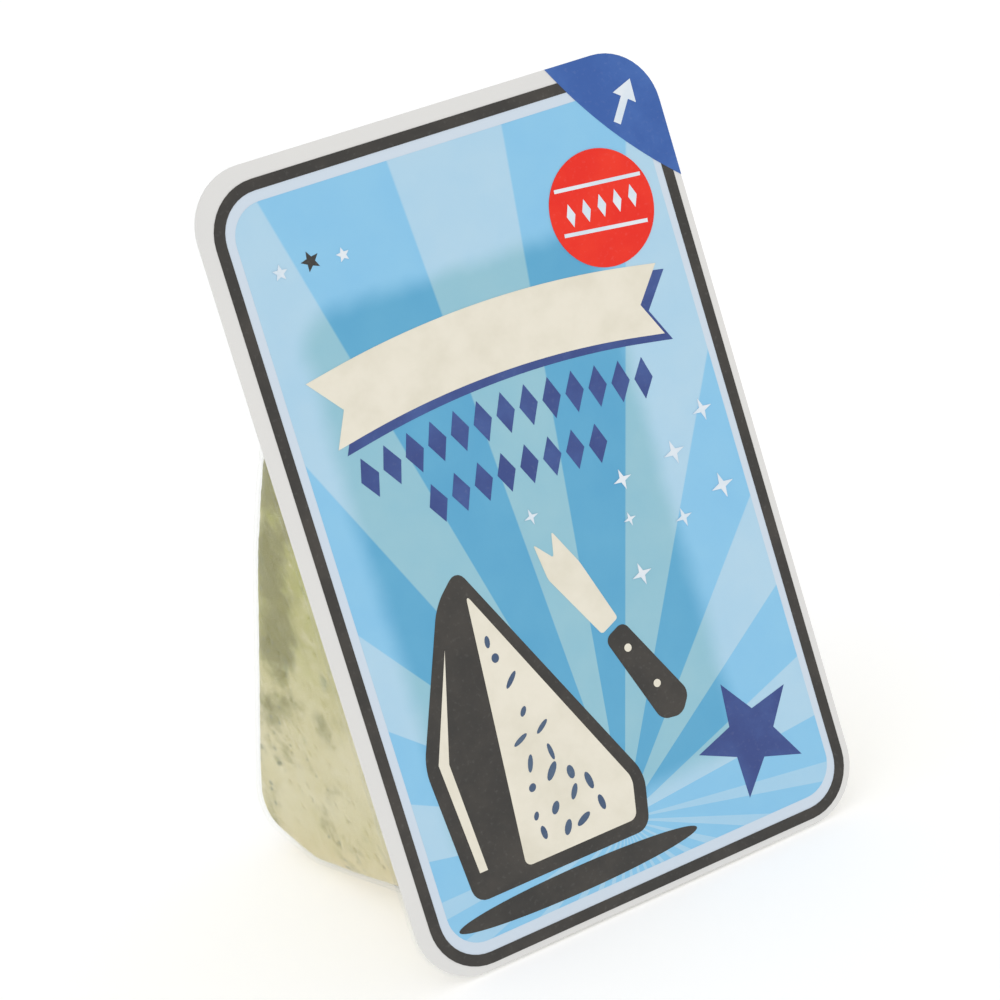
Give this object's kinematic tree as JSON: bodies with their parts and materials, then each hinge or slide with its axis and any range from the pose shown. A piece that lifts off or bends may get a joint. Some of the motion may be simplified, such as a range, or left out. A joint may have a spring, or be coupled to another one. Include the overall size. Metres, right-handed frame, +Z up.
{
  "type": "cheese wedge",
  "caption": "Wedge of blue cheese in a clear moulded tray closed by a printed peel-off lid, standing on the rim's lower edge and the tray's low corner, leaning back.",
  "frame": {"origin": "on the ground, under the middle of the pack's box", "axes": "+Z up, +X across the lid towards its lift corner, lid facing -Y and leaning back by 7.9 degrees"},
  "size_m": [0.0574, 0.0596, 0.0895],
  "materials": {
    "cheese": "moist semi-soft cheese, satin, with olive patches, pits and grey-green mould specks",
    "clear_tray": "clear thermoformed sheet, glossy",
    "printed_film": "printed film, soft gloss, pale blue rays inside a dark frame line and a pale margin"
  },
  "bodies": {
    "root": {"cheese_wedge": "cheese", "tray": "clear_tray", "lid": "printed_film"}
  },
  "joints": []
}
